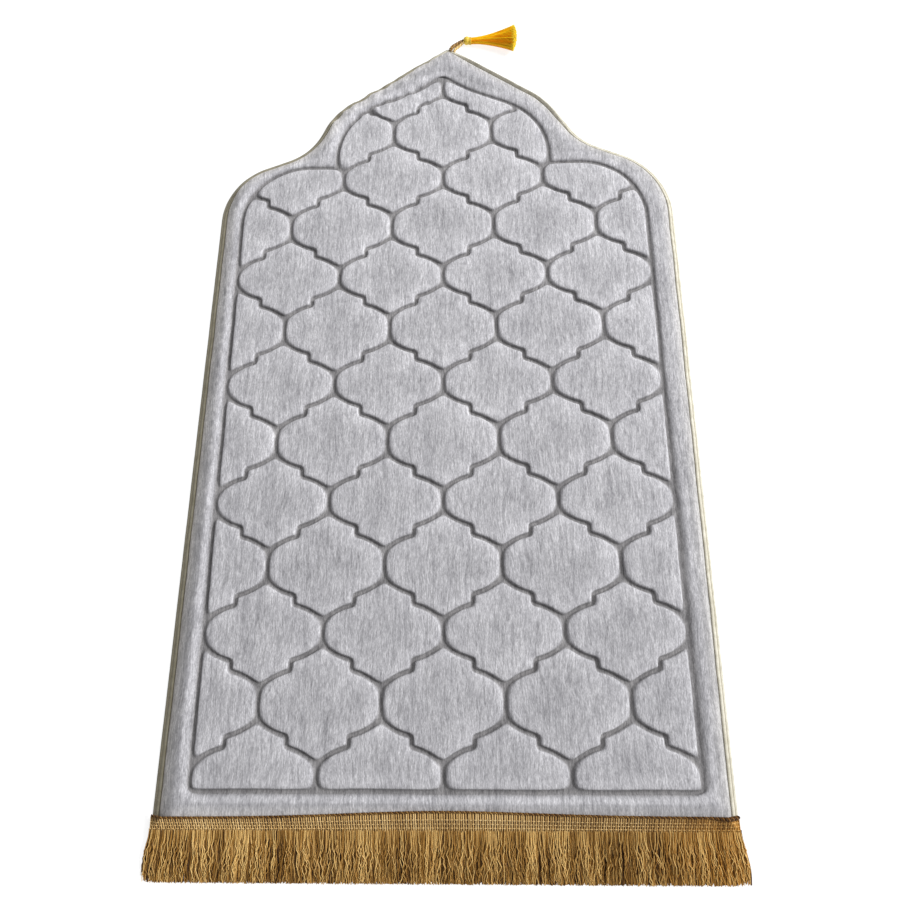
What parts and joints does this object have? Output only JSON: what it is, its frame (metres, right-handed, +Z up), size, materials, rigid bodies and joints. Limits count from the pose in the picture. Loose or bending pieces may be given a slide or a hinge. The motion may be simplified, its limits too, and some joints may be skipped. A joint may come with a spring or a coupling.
{
  "type": "prayer rug",
  "caption": "Padded prayer rug with a pointed arch, an embossed trellis surface, a rolled edge binding, a fringed hem and a tassel on a loop at the tip.",
  "frame": {"origin": "on the surface that the rug lies on, under the middle of the whole object's box", "axes": "+Y from the fringed hem to the tip of the arch, +X to the side on which the tassel lies, +Z up out of the plush face"},
  "size_m": [0.6772, 1.197, 0.0229],
  "materials": {
    "plush": "brushed short plush, silver grey, with dark and light streaks",
    "binding_cloth": "woven cloth, cream",
    "fringe_yarn": "lustrous twisted yarn, old gold",
    "tassel_yarn": "lustrous yarn, bright golden yellow",
    "loop_cord": "twisted cord, golden brown"
  },
  "bodies": {
    "root": {"rug_pad": "plush", "edge_binding": "binding_cloth", "fringe": "fringe_yarn", "tassel": "tassel_yarn", "tassel_loop": "loop_cord"}
  },
  "joints": []
}
